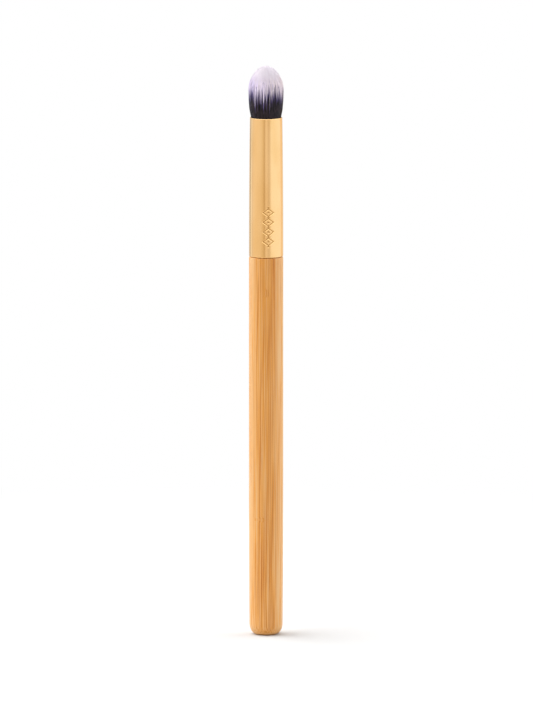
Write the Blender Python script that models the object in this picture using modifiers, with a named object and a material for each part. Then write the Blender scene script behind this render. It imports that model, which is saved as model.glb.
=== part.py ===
"""A concealer brush: a turned bamboo handle, a gold-coloured ferrule and a domed tuft of two-tone filament.

Lengths are in metres and +Z is up. The brush stands on its foot, with the origin at the foot's centre.
"""

import math

import bmesh
import bpy
import numpy as np

# Handle: one turned piece of bamboo, a grip with a rounded foot and a tenon that enters the ferrule
GRIP_LENGTH = 0.1133
GRIP_RADIUS = 0.0051
GRIP_END_RADIUS = 0.00495
END_TAPER_LENGTH = 0.0300
FOOT_ROUND_HEIGHT = 0.0032
FOOT_ROUND_RUN = 0.0013
SHOULDER_ROUND = 0.0004
TENON_CHAMFER = 0.0008
GLUE_GROOVE_LENGTH = 0.0060
GLUE_GROOVE_DEPTH = 0.0010

# Ferrule: a drawn aluminium tube that narrows towards its mouth
FERRULE_LENGTH = 0.0415
FERRULE_MOUTH_RADIUS = 0.00482
FERRULE_WALL = 0.0003
FERRULE_EDGE_SHARE = 0.5
FERRULE_TAPER_POWER = 2.2

# Tuft: its outline above the mouth, and the strands that stand for its locks of filament
BELLY_HEIGHT = 0.0079
BELLY_RADIUS = 0.00525
DOME_HEIGHT = 0.0075
LENGTH_VARIATION = 0.0005
STRAND_COUNT = 300
EDGE_STRANDS = 12
STRAND_FILL_SHARE = 0.6

# Root: what holds the tuft inside the ferrule
ROOT_DEPTH = 0.0110
SLICE_THICKNESS = 0.0012
ROOT_SINK_SHARE = 0.5
THREAD_RADIUS = 0.00015
THREAD_PITCH = 0.00075
THREAD_TURNS = 3
PLUG_LENGTH = 0.0050
PLUG_MENISCUS = 0.0006
SPACE_BELOW_PLUG = 0.0040

# Clearance between neighbouring pieces, which the glue fills on the real brush
FIT_GAP = 0.0003

# Places along a strand, as shares of the height of the belly or of the dome above it
COLOUR_LINE_SHARE = 0.79
COLOUR_SPREAD_SHARE = 0.3
FLARE_POINT_SHARE = 0.4
DOME_POINT_SHARE = 0.6

# Strands further out than this share of the tuft show their curve, so they get two more points
OUTER_STRAND_SHARE = 0.915
TIP_CURL_SHARE = 0.2

# Thickness of a strand above the belly, as shares of its thickness there
DOME_THICKNESS_SHARE = 0.8
TIP_THICKNESS_SHARE = 0.35

# How finely the round shapes are cut
TURN_STEPS = 48
INNER_TURN_STEPS = 32
ARC_STEPS = 5
SIDE_STEPS = 8
THREAD_TURN_POINTS = 24
STRAND_SIDES = 3
GAP_LEVELS = 60
SHARP_ANGLE = math.radians(35)
MERGE_DISTANCE = 0.000001

# Finishes: linear red, green and blue, then roughness, then metallic value
BAMBOO = ((0.66, 0.33, 0.11), 0.38, 0.0)
GOLD_ALUMINIUM = ((0.94, 0.60, 0.26), 0.16, 1.0)
BLACK_FILAMENT = ((0.022, 0.018, 0.022), 0.55, 0.0)
PALE_FILAMENT = ((0.72, 0.62, 0.76), 0.60, 0.0)
RESIN = ((0.55, 0.42, 0.18), 0.20, 0.0)
COTTON = ((0.70, 0.68, 0.62), 0.85, 0.0)
WOOD_GLUE = ((0.75, 0.70, 0.55), 0.35, 0.0)

# Heights that follow from the sizes above, from the foot up
FERRULE_BASE_Z = GRIP_LENGTH + FIT_GAP
MOUTH_Z = FERRULE_BASE_Z + FERRULE_LENGTH
SLICE_TOP_Z = MOUTH_Z - ROOT_DEPTH
SLICE_BOTTOM_Z = SLICE_TOP_Z - SLICE_THICKNESS
PLUG_TOP_Z = SLICE_BOTTOM_Z - FIT_GAP
PLUG_BOTTOM_Z = PLUG_TOP_Z - PLUG_LENGTH
TENON_TOP_Z = PLUG_BOTTOM_Z - SPACE_BELOW_PLUG
TENON_MIDDLE_Z = (GRIP_LENGTH + TENON_TOP_Z) / 2
GROOVE_TOP_Z = TENON_MIDDLE_Z + GLUE_GROOVE_LENGTH / 2
GROOVE_BOTTOM_Z = TENON_MIDDLE_Z - GLUE_GROOVE_LENGTH / 2
WINDING_BOTTOM_Z = SLICE_TOP_Z + FIT_GAP + THREAD_RADIUS
WINDING_TOP_Z = WINDING_BOTTOM_Z + THREAD_TURNS * THREAD_PITCH

# A strand's radius, as a share of the tuft's own radius at the same height
STRAND_SHARE = STRAND_FILL_SHARE / math.sqrt(STRAND_COUNT)

# The angle between one seed of a sunflower and the next, and the golden section that it comes from
GOLDEN_SHARE = (math.sqrt(5) - 1) / 2
GOLDEN_TURN = 2 * math.pi * (1 - GOLDEN_SHARE)


def new_material(name, finish):
    """A Principled material from one of the finishes above."""
    colour, roughness, metallic = finish
    material = bpy.data.materials.new(name)
    material.use_nodes = True
    material.diffuse_color = (*colour, 1)
    shader = material.node_tree.nodes["Principled BSDF"]
    shader.inputs["Base Color"].default_value = (*colour, 1)
    shader.inputs["Roughness"].default_value = roughness
    shader.inputs["Metallic"].default_value = metallic
    return material


def new_collection(name):
    """A collection linked to the scene."""
    collection = bpy.data.collections.new(name)
    bpy.context.scene.collection.children.link(collection)
    return collection


def placed(name, data, collection, parent, z):
    """An object that holds data, with its own origin on the brush's axis at height z."""
    obj = bpy.data.objects.new(name, data)
    collection.objects.link(obj)
    obj.parent = parent
    obj.location = (0, 0, z)
    return obj


def evaluated_mesh(obj):
    """A plain mesh of the object as its modifiers or its bevel make it, with loose caps joined on."""
    bpy.context.view_layer.update()
    graph = bpy.context.evaluated_depsgraph_get()
    mesh = bpy.data.meshes.new_from_object(obj.evaluated_get(graph))
    shape = bmesh.new()
    shape.from_mesh(mesh)
    bmesh.ops.remove_doubles(shape, verts=shape.verts, dist=MERGE_DISTANCE)
    bmesh.ops.recalc_face_normals(shape, faces=shape.faces)
    shape.to_mesh(mesh)
    shape.free()
    return mesh


def ferrule_outer(z):
    """Outer radius of the ferrule at height z: flush with the grip, then narrower towards the mouth."""
    share = max((z - FERRULE_BASE_Z) / FERRULE_LENGTH, 0)
    return GRIP_RADIUS - (GRIP_RADIUS - FERRULE_MOUTH_RADIUS) * share**FERRULE_TAPER_POWER


def ferrule_bore(z):
    """Inner radius of the ferrule at height z."""
    return ferrule_outer(z) - FERRULE_WALL


def clear_bore(low_z, high_z):
    """Radius of what fits in the ferrule between two heights, with clearance at its narrow end."""
    return min(ferrule_bore(low_z), ferrule_bore(high_z)) - FIT_GAP


def grip_radius(z):
    """Radius of the grip at height z: straight for most of its length, then eased in towards the foot."""
    share = min(max((z - FOOT_ROUND_HEIGHT) / END_TAPER_LENGTH, 0), 1)
    return GRIP_END_RADIUS + (GRIP_RADIUS - GRIP_END_RADIUS) * math.sin(share * math.pi / 2)


def tenon_radius():
    """The tenon is a straight dowel that fits the whole length of bore it enters."""
    return clear_bore(FERRULE_BASE_Z, TENON_TOP_Z)


def groove_radius():
    """Radius at the bottom of the tenon's glue groove."""
    return tenon_radius() - GLUE_GROOVE_DEPTH


def winding_radius():
    """Radius of the circle that the thread's centre line winds round."""
    return clear_bore(WINDING_BOTTOM_Z, WINDING_TOP_Z) - THREAD_RADIUS


def tuft_radius(height):
    """Outer radius of the tuft at a height above the mouth, from the root to the belly.

    In the ferrule it is a straight cone between the winding and the mouth. Above, it swells to the belly
    along a quarter of a sine wave.
    """
    mouth = ferrule_bore(MOUTH_Z) - FIT_GAP
    if height >= 0:
        return mouth + (BELLY_RADIUS - mouth) * math.sin(height / BELLY_HEIGHT * math.pi / 2)
    waist = winding_radius() - THREAD_RADIUS - FIT_GAP
    return mouth + (waist - mouth) * height / (WINDING_TOP_Z - MOUTH_Z)


def arc(centre_radius, centre_z, size, start, end):
    """Points of an arc in the profile plane, from angle start to angle end, both included."""
    turn = (end - start) / ARC_STEPS
    angles = [start + turn * step for step in range(ARC_STEPS + 1)]
    return [(centre_radius + size * math.cos(a), centre_z + size * math.sin(a)) for a in angles]


def side(radius_at, start_z, end_z):
    """Points of a side between two heights, both left out, whose radius comes from a function of height."""
    heights = [start_z + (end_z - start_z) * step / SIDE_STEPS for step in range(1, SIDE_STEPS)]
    return [(radius_at(z), z) for z in heights]


def turned(name, profile, steps, finish, collection, parent, base_z, closed=False):
    """Spins a profile of (radius, height) points round the brush's axis.

    The profile runs down its outer side. A closed one comes back up its inner side, as a tube's does.
    """
    edges = [(i, i + 1) for i in range(len(profile) - 1)]
    if closed:
        edges.append((len(profile) - 1, 0))
    outline = bpy.data.meshes.new(name)
    outline.from_pydata([(radius, 0, z - base_z) for radius, z in profile], edges, [])
    obj = placed(name, outline, collection, parent, base_z)
    screw = obj.modifiers.new("Turn", "SCREW")
    screw.steps = steps
    screw.render_steps = steps
    screw.use_merge_vertices = True
    screw.merge_threshold = MERGE_DISTANCE
    obj.data = evaluated_mesh(obj)
    obj.modifiers.clear()
    obj.data.shade_smooth()
    obj.data.set_sharp_from_angle(angle=SHARP_ANGLE)
    obj.data.materials.append(new_material(f"{name}_finish", finish))
    return obj


def make_handle(collection, parent):
    """The bamboo handle: a tenon with a glue groove, a softened shoulder, the grip and its rounded foot."""
    tenon = tenon_radius()
    groove = groove_radius()
    profile = [(0, TENON_TOP_Z), (tenon - TENON_CHAMFER, TENON_TOP_Z), (tenon, TENON_TOP_Z - TENON_CHAMFER)]
    profile += [(tenon, GROOVE_TOP_Z), (groove, GROOVE_TOP_Z), (groove, GROOVE_BOTTOM_Z)]
    profile += [(tenon, GROOVE_BOTTOM_Z), (tenon, GRIP_LENGTH)]
    shoulder_z = GRIP_LENGTH - SHOULDER_ROUND
    profile += arc(GRIP_RADIUS - SHOULDER_ROUND, shoulder_z, SHOULDER_ROUND, math.pi / 2, 0)
    taper_top_z = FOOT_ROUND_HEIGHT + END_TAPER_LENGTH
    profile.append((GRIP_RADIUS, taper_top_z))
    profile += side(grip_radius, taper_top_z, FOOT_ROUND_HEIGHT)
    # The foot's arc leaves the side upright and ends on the floor, at the rim of the flat
    size = (FOOT_ROUND_RUN**2 + FOOT_ROUND_HEIGHT**2) / (2 * FOOT_ROUND_RUN)
    sweep = math.atan2(FOOT_ROUND_HEIGHT, size - FOOT_ROUND_RUN)
    profile += arc(GRIP_END_RADIUS - size, FOOT_ROUND_HEIGHT, size, 0, -sweep)
    profile.append((0, 0))
    return turned("handle", profile, TURN_STEPS, BAMBOO, collection, parent, 0)


def make_ferrule(collection, parent):
    """The ferrule: an even wall, a mouth rolled to a full round and a softened lower edge."""
    half_wall = FERRULE_WALL / 2
    lip_z = MOUTH_Z - half_wall
    edge = FERRULE_WALL * FERRULE_EDGE_SHARE
    edge_z = FERRULE_BASE_Z + edge
    profile = arc(ferrule_outer(lip_z) - half_wall, lip_z, half_wall, math.pi, 0)
    profile += side(ferrule_outer, lip_z, edge_z)
    profile += arc(ferrule_outer(edge_z) - edge, edge_z, edge, 0, -math.pi / 2)
    profile.append((ferrule_bore(FERRULE_BASE_Z), FERRULE_BASE_Z))
    profile += side(ferrule_bore, FERRULE_BASE_Z, lip_z)
    return turned("ferrule", profile, TURN_STEPS, GOLD_ALUMINIUM, collection, parent, FERRULE_BASE_Z, True)


def make_glue_ring(collection, parent):
    """The cured glue in the tenon's groove, which bears on the ferrule's bore."""
    inner = groove_radius() + FIT_GAP
    outer = tenon_radius()
    top = GROOVE_TOP_Z - FIT_GAP
    bottom = GROOVE_BOTTOM_Z + FIT_GAP
    profile = [(inner, top), (outer, top), (outer, bottom), (inner, bottom)]
    return turned("glue_ring", profile, INNER_TURN_STEPS, WOOD_GLUE, collection, parent, bottom, True)


def make_root_plug(collection, parent):
    """The resin poured in behind the tuft. Its lower face is dished, as a liquid that wets a tube sets."""
    outer = clear_bore(PLUG_BOTTOM_Z, PLUG_TOP_Z)
    profile = [(0, PLUG_TOP_Z), (outer, PLUG_TOP_Z)]
    for step in range(ARC_STEPS + 1):
        share = 1 - step / ARC_STEPS
        profile.append((outer * share, PLUG_BOTTOM_Z + PLUG_MENISCUS * (1 - share**2)))
    return turned("root_plug", profile, INNER_TURN_STEPS, RESIN, collection, parent, PLUG_BOTTOM_Z)


def make_binding_thread(collection, parent):
    """The cotton thread that ties the filaments into a bundle: one helix with short straight ends."""
    count = THREAD_TURNS * THREAD_TURN_POINTS
    share = np.arange(count + 1) / count
    turn = share * THREAD_TURNS * 2 * math.pi
    rise = share * THREAD_TURNS * THREAD_PITCH
    helix = np.stack([winding_radius() * np.cos(turn), winding_radius() * np.sin(turn), rise], axis=1)
    ends = np.array([helix[0] - helix[1], helix[-1] - helix[-2]])
    ends *= 2 * THREAD_RADIUS / np.linalg.norm(ends, axis=1, keepdims=True)
    points = np.vstack([helix[0] + ends[0], helix, helix[-1] + ends[1]])
    path = bpy.data.curves.new("binding_thread", "CURVE")
    path.dimensions = "3D"
    path.bevel_depth = THREAD_RADIUS
    path.bevel_resolution = 1
    path.use_fill_caps = True
    spline = path.splines.new("POLY")
    spline.points.add(len(points) - 1)
    for point, place in zip(spline.points, points):
        point.co = (*place, 1)
    path.materials.append(new_material("binding_thread_finish", COTTON))
    # Points more than half a turn apart along the helix lie on neighbouring turns
    numbers = np.arange(count + 1)
    neighbours = np.abs(numbers[:, None] - numbers) > THREAD_TURN_POINTS / 2
    distances = np.linalg.norm(helix[:, None] - helix, axis=2)
    least = distances[neighbours].min() - 2 * THREAD_RADIUS
    print(f"binding thread: {THREAD_TURNS} turns, least gap to itself {least:.6f} m")
    return placed("binding_thread", path, collection, parent, WINDING_BOTTOM_Z)


def strand_points(index):
    """Points along one strand, root to tip: distance from the axis, height above the mouth, thickness.

    A strand keeps its share of the tuft's radius up to the belly and then curls in, until its tip lies on
    the dome, an ellipse. Strands further out curl in more. Thickness is a share of that at the belly. The
    last strands all stand on the edge, which keeps the tuft's outline even.
    """
    share = min(math.sqrt((index + 0.5) / (STRAND_COUNT - EDGE_STRANDS)), 1)
    line_share = COLOUR_LINE_SHARE + COLOUR_SPREAD_SHARE * (index * GOLDEN_SHARE**2 % 1 - 0.5)
    heights = [-ROOT_DEPTH - SLICE_THICKNESS * ROOT_SINK_SHARE, 0]
    if share > OUTER_STRAND_SHARE:
        heights.append(BELLY_HEIGHT * FLARE_POINT_SHARE)
    heights.append(BELLY_HEIGHT * line_share)
    inside = share * (1 - STRAND_SHARE)
    points = [(inside * tuft_radius(z), z, tuft_radius(z) / BELLY_RADIUS) for z in heights]
    dome = DOME_HEIGHT - LENGTH_VARIATION * (index * GOLDEN_SHARE % 1)
    tip = share * (1 - TIP_CURL_SHARE * share**2)
    reach = math.sqrt(1 - tip**2)
    curl = (1 - (tip / share) ** 2) / reach**2
    stations = [(1, TIP_THICKNESS_SHARE)]
    if share > OUTER_STRAND_SHARE:
        stations.insert(0, (DOME_POINT_SHARE, DOME_THICKNESS_SHARE))
    for along, thickness in stations:
        drawn_in = math.sqrt(1 - curl * (along * reach) ** 2)
        points.append((inside * BELLY_RADIUS * drawn_in, BELLY_HEIGHT + dome * reach * along, thickness))
    return points


def make_strand_section(collection):
    """The flat outline that every strand is drawn along, as wide as a strand at the belly."""
    outline = bpy.data.curves.new("strand_section", "CURVE")
    outline.dimensions = "2D"
    corners = outline.splines.new("POLY")
    corners.points.add(STRAND_SIDES - 1)
    corners.use_cyclic_u = True
    size = STRAND_SHARE * BELLY_RADIUS
    for number, corner in enumerate(corners.points):
        angle = number * 2 * math.pi / STRAND_SIDES
        corner.co = (size * math.cos(angle), size * math.sin(angle), 0, 1)
    section = bpy.data.objects.new("strand_section", outline)
    collection.objects.link(section)
    section.hide_render = True
    section.display_type = "WIRE"
    return section


def make_strands(finishes, guides, parent):
    """All the strands as one mesh, laid out like a sunflower's seeds, dark below the colour line."""
    paths = bpy.data.curves.new("strand_paths", "CURVE")
    paths.dimensions = "3D"
    paths.bevel_mode = "OBJECT"
    paths.bevel_object = make_strand_section(guides)
    paths.use_fill_caps = True
    for index in range(STRAND_COUNT):
        turn = index * GOLDEN_TURN
        strand = strand_points(index)
        spline = paths.splines.new("POLY")
        spline.points.add(len(strand) - 1)
        for point, (radius, height, thickness) in zip(spline.points, strand):
            point.co = (radius * math.cos(turn), radius * math.sin(turn), height, 1)
            point.radius = thickness
    drawn = placed("strand_paths", paths, guides, parent, MOUTH_Z)
    mesh = evaluated_mesh(drawn)
    strands = placed("strands", mesh, guides, parent, MOUTH_Z)
    strands.matrix_world = drawn.matrix_world
    bpy.data.objects.remove(drawn, do_unlink=True)
    strands.hide_render = True
    strands.display_type = "WIRE"
    mesh.shade_smooth()
    for finish in finishes:
        mesh.materials.append(finish)
    for face in mesh.polygons:
        face.material_index = int(face.center.z > BELLY_HEIGHT * COLOUR_LINE_SHARE)
    return strands


def make_tuft(collection, guides, parent):
    """The bristle tuft: the strands fused to the slice of resin that their roots are cast in."""
    finishes = [new_material("black_filament", BLACK_FILAMENT), new_material("pale_filament", PALE_FILAMENT)]
    strands = make_strands(finishes, guides, parent)
    radius = clear_bore(SLICE_BOTTOM_Z, SLICE_TOP_Z)
    middle = -ROOT_DEPTH - SLICE_THICKNESS / 2
    mesh = bpy.data.meshes.new("bristle_tuft")
    shape = bmesh.new()
    bmesh.ops.create_cone(
        shape,
        cap_ends=True,
        segments=INNER_TURN_STEPS,
        radius1=radius,
        radius2=radius,
        depth=SLICE_THICKNESS,
    )
    bmesh.ops.translate(shape, verts=shape.verts, vec=(0, 0, middle))
    shape.to_mesh(mesh)
    shape.free()
    for finish in finishes:
        mesh.materials.append(finish)
    tuft = placed("bristle_tuft", mesh, collection, parent, MOUTH_Z)
    fuse = tuft.modifiers.new("Fuse strands", "BOOLEAN")
    fuse.operation = "UNION"
    fuse.solver = "EXACT"
    fuse.object = strands
    return tuft


def least_strand_gap():
    """Smallest clear distance between two strands, measured level by level from the slice to the tips."""
    strands = [np.array(strand_points(index)).T for index in range(STRAND_COUNT)]
    turns = np.arange(STRAND_COUNT) * GOLDEN_TURN
    directions = np.stack([np.cos(turns), np.sin(turns)], axis=1)
    least = math.inf
    for level in np.linspace(-ROOT_DEPTH, BELLY_HEIGHT + DOME_HEIGHT, GAP_LEVELS):
        reaching = np.array([heights[-1] >= level for _, heights, _ in strands])
        if reaching.sum() < 2:
            continue
        cut = [strand for strand, there in zip(strands, reaching) if there]
        radii = np.array([np.interp(level, heights, radii) for radii, heights, _ in cut])
        thick = np.array([np.interp(level, heights, sizes) for _, heights, sizes in cut])
        thick *= STRAND_SHARE * BELLY_RADIUS
        places = directions[reaching] * radii[:, None]
        gaps = np.linalg.norm(places[:, None] - places, axis=2) - thick[:, None] - thick
        np.fill_diagonal(gaps, math.inf)
        least = min(least, gaps.min())
    return least


def main():
    """Builds the whole brush."""
    for obj in list(bpy.data.objects):
        bpy.data.objects.remove(obj, do_unlink=True)
    parts = new_collection("concealer_brush")
    guides = new_collection("guides")
    axis = bpy.data.objects.new("brush_axis", None)
    parts.objects.link(axis)
    make_handle(parts, axis)
    make_ferrule(parts, axis)
    make_glue_ring(parts, axis)
    make_root_plug(parts, axis)
    make_binding_thread(parts, axis)
    make_tuft(parts, guides, axis)
    print(f"bristle tuft: {STRAND_COUNT} strands, least gap between two {least_strand_gap():.6f} m")


main()
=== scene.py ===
# %% [markdown]
# # A concealer brush, surface by surface
#
# A concealer brush shows three things: a bamboo handle, a thin gold-coloured ferrule and a round
# tuft of filament. Three more are out of sight in the ferrule: the thread that binds the filament,
# the resin poured in behind it, and the glue that holds the handle's tenon.
#
# The construction model that this script loads holds every piece at its real size, so nothing here
# moves or resizes one. What is left is the fine shape and the finish of each surface. A shape is a
# function of two numbers, worked out for a whole grid of points at once. A finish is arithmetic on
# what the shader knows about a point, such as its place on the brush.

import math

import bmesh
import bpy
import numpy as np
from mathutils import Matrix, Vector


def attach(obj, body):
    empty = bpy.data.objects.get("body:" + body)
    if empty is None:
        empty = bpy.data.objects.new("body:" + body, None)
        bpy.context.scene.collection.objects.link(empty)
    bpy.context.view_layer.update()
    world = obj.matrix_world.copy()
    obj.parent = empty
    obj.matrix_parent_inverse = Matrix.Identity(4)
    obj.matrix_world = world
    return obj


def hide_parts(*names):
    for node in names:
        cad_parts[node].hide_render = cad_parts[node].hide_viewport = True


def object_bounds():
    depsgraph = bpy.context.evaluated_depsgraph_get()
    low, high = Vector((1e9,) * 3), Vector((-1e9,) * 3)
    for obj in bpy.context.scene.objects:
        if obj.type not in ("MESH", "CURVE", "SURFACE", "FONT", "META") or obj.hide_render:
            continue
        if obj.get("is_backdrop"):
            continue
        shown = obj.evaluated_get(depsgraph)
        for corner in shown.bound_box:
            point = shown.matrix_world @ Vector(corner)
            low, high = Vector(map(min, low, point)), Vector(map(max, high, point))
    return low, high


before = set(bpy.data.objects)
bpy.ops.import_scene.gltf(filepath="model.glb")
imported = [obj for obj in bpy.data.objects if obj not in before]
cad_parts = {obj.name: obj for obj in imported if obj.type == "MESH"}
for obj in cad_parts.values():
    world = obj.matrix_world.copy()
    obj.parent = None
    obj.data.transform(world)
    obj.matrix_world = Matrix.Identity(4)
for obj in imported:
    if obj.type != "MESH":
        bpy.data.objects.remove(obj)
cad_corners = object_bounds()
print("construction nodes:", ", ".join(sorted(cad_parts)))

# %% [markdown]
# ## Sizes come from the construction
#
# The brush is turned round the vertical axis, so two numbers place any point on it: a height and a
# distance from the axis. Reading both from the construction keeps every fine surface in its place
# when a size changes there. Angles run round the axis from the front, towards the right.

# %% Measure the construction
MM = 0.001
TOUCH = 0.25 * MM
node_points = {
    name: np.array([vertex.co for vertex in node.data.vertices])
    for name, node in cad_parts.items()
}


def radius_between(node, low, high):
    """Greatest distance from the axis among a node's points between two heights."""
    points = node_points[node]
    band = points[(points[:, 2] > low) & (points[:, 2] < high)]
    return float(np.hypot(band[:, 0], band[:, 1]).max())


TENON_TOP = float(node_points["handle"][:, 2].max())
FERRULE_BASE = float(node_points["ferrule"][:, 2].min())
MOUTH = float(node_points["ferrule"][:, 2].max())
TUFT_ROOT = float(node_points["bristle_tuft"][:, 2].min())
TUFT_TOP = float(node_points["bristle_tuft"][:, 2].max())
GRIP_RADIUS = radius_between("handle", 0, FERRULE_BASE)
BASE_RADIUS = radius_between("ferrule", FERRULE_BASE - TOUCH, FERRULE_BASE + TOUCH)
MOUTH_RADIUS = radius_between("ferrule", MOUTH - TOUCH, MOUTH + TOUCH)
print(f"handle {2 * GRIP_RADIUS / MM:.2f} mm thick, ferrule from {FERRULE_BASE / MM:.1f} mm")
print(f"mouth {2 * MOUTH_RADIUS / MM:.2f} mm wide at {MOUTH / MM:.1f} mm, tips at {TUFT_TOP / MM:.1f} mm")

# %% [markdown]
# ## A surface as a grid of points
#
# A turned surface is a grid: one parameter runs along the profile, the other runs round the axis.
# The Screw modifier could turn a profile too, but a grid lets the ferrule have extra points where
# its stamped ornament is, and only there. The last column meets the first, so there is no seam, and
# a profile that starts or ends on the axis is closed by merging the points that fall together.

# %% Helpers for grids
POLE_MERGE = 0.001 * MM
SHARP_EDGE = math.radians(40)


def arc(middle_radius, middle_height, size, start, end, steps=8):
    """Profile points on an arc: middle + size * (cosine, sine) of the angles from start to end."""
    angle = np.radians(np.linspace(start, end, steps + 1))
    radius = middle_radius + size * np.cos(angle)
    height = middle_height + size * np.sin(angle)
    return np.stack([radius, height], axis=1)


def run(radius_at, start, end, steps):
    """Profile points (radius_at(h), h) at even heights h between two ends, which are left out."""
    height = np.linspace(start, end, steps + 1)[1:-1]
    return np.stack([radius_at(height), height], axis=1)


def spun(profile, angles):
    """A grid of points: each profile point (r, h) at each angle a is (r sin a, -r cos a, h)."""
    radius = profile[:, :1]
    height = profile[:, 1:] + 0 * angles
    return np.stack([radius * np.sin(angles), -radius * np.cos(angles), height], axis=-1)


def grid_quads(rows, columns, tube=False):
    """Corner numbers of a grid's quads. The last column meets the first, and a tube's rows do too."""
    row = np.arange(rows if tube else rows - 1)[:, None]
    left = np.arange(columns)
    right = (left + 1) % columns
    above = row * columns
    below = ((row + 1) % rows) * columns
    corners = [above + left, below + left, below + right, above + right]
    return np.stack(corners, axis=-1).reshape(-1, 4)


def new_piece(name, points, faces):
    """A smooth-shaded object at the origin, whose mesh holds the points and the faces between them."""
    mesh = bpy.data.meshes.new(name)
    mesh.from_pydata(points.reshape(-1, 3).tolist(), [], faces)
    mesh.shade_smooth()
    piece = bpy.data.objects.new(name, mesh)
    bpy.context.scene.collection.objects.link(piece)
    return piece


def close_poles(piece):
    """Merges points that fall together on the axis. It prints the volume, above 0 if faces point out."""
    shape = bmesh.new()
    shape.from_mesh(piece.data)
    bmesh.ops.remove_doubles(shape, verts=shape.verts, dist=POLE_MERGE)
    volume = shape.calc_volume(signed=True)
    shape.to_mesh(piece.data)
    shape.free()
    piece.data.set_sharp_from_angle(angle=SHARP_EDGE)
    print(f"{piece.name}: {len(piece.data.polygons)} faces, {volume / MM**3:.1f} cubic mm")
    return piece


def turned(name, profile, angles):
    """A turned piece: the profile at every angle, with its poles closed and its corners left sharp."""
    faces = grid_quads(len(profile), len(angles)).tolist()
    return close_poles(new_piece(name, spun(profile, angles), faces))


# %% [markdown]
# ## The handle
#
# The handle is one rod of bamboo, turned on a lathe: a tenon with a groove for the glue, a shoulder
# that meets the ferrule, a long straight grip that eases in towards its end, and a foot rounded off
# to a small flat. The construction has the same outline in coarse steps, and gloss would show each
# of its flats. So the handle is turned again from the same sizes, in much finer steps. Only its foot
# curls under a little more.

# %% Turn the handle
GLUE_LINE = 0.12 * MM
GRIP_TOP = FERRULE_BASE - GLUE_LINE
GRIP_END_RADIUS = 4.95 * MM
GRIP_STEPS = 60
END_TAPER = 30.0 * MM
FOOT_HEIGHT = 3.2 * MM
FOOT_RUN = 2.2 * MM
FOOT_STEPS = 24
SHOULDER_ROUND = 0.4 * MM
TENON_CHAMFER = 0.8 * MM
GROOVE_LENGTH = 6.0 * MM
GROOVE_DEPTH = 1.0 * MM
ROUND_STEPS = 160


def grip_radius(height):
    """Radius of the grip: straight, and over its end a quarter of a sine wave in to its end radius."""
    share = np.clip((height - FOOT_HEIGHT) / END_TAPER, 0, 1)
    return GRIP_END_RADIUS + (GRIP_RADIUS - GRIP_END_RADIUS) * np.sin(share * np.pi / 2)


def tenon_profile():
    """The tenon's outline from the middle of its top, past its chamfer and groove, to the shoulder."""
    tenon = radius_between("handle", FERRULE_BASE, TENON_TOP - TENON_CHAMFER / 2)
    groove = tenon - GROOVE_DEPTH
    groove_middle = (GRIP_TOP + TENON_TOP) / 2
    groove_top = groove_middle + GROOVE_LENGTH / 2
    groove_bottom = groove_middle - GROOVE_LENGTH / 2
    return [
        (0, TENON_TOP),
        (tenon - TENON_CHAMFER, TENON_TOP),
        (tenon, TENON_TOP - TENON_CHAMFER),
        (tenon, groove_top),
        (groove, groove_top),
        (groove, groove_bottom),
        (tenon, groove_bottom),
        (tenon, GRIP_TOP),
    ]


def foot_profile():
    """A quarter of an ellipse, upright where it leaves the grip and level where it meets the floor."""
    angle = np.linspace(0, np.pi / 2, FOOT_STEPS + 1)
    radius = GRIP_END_RADIUS - FOOT_RUN * (1 - np.cos(angle))
    return np.stack([radius, FOOT_HEIGHT * (1 - np.sin(angle))], axis=1)


shoulder = arc(GRIP_RADIUS - SHOULDER_ROUND, GRIP_TOP - SHOULDER_ROUND, SHOULDER_ROUND, 90, 0)
grip = run(grip_radius, GRIP_TOP - SHOULDER_ROUND, FOOT_HEIGHT, GRIP_STEPS)
handle_outline = np.vstack([tenon_profile(), shoulder, grip, foot_profile(), [(0, 0)]])
round_angles = np.linspace(0, 2 * np.pi, ROUND_STEPS, endpoint=False)
handle = turned("handle_fine", handle_outline, round_angles)

# %% [markdown]
# ## The ferrule and its stamped ornament
#
# The ferrule is a drawn aluminium tube, 0.3 mm thick, which narrows towards the mouth. Both its
# edges are rounded, and those tiny rounds matter: they catch the light as thin bright rims.
#
# Such ferrules are often stamped. Here the stamp is a plain column of lozenges and beads. A stroke
# could be drawn in the material alone, but a pressed line has two walls that reflect the room
# differently, so it is pressed into the mesh. Each point's depth comes from its distance to the
# nearest stroke.

# %% Draw the ornament
STAMP_ANGLE = math.radians(8.0)
STAMP_BOTTOM = FERRULE_BASE + 3.4 * MM
STAMP_MARGIN = 0.5 * MM
LOZENGES = 4
LOZENGE_PITCH = 2.9 * MM
LOZENGE_HALF_WIDTH = 1.6 * MM
LOZENGE_HALF_HEIGHT = 1.1 * MM
STAMP_HEIGHT = LOZENGES * LOZENGE_PITCH
BEAD_RADIUS = 0.28 * MM
STROKE_HALF_WIDTH = 0.15 * MM
STROKE_EDGE = 0.10 * MM
STROKE_DEPTH = 0.10 * MM
FAR_AWAY = 1000 * MM


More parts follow.
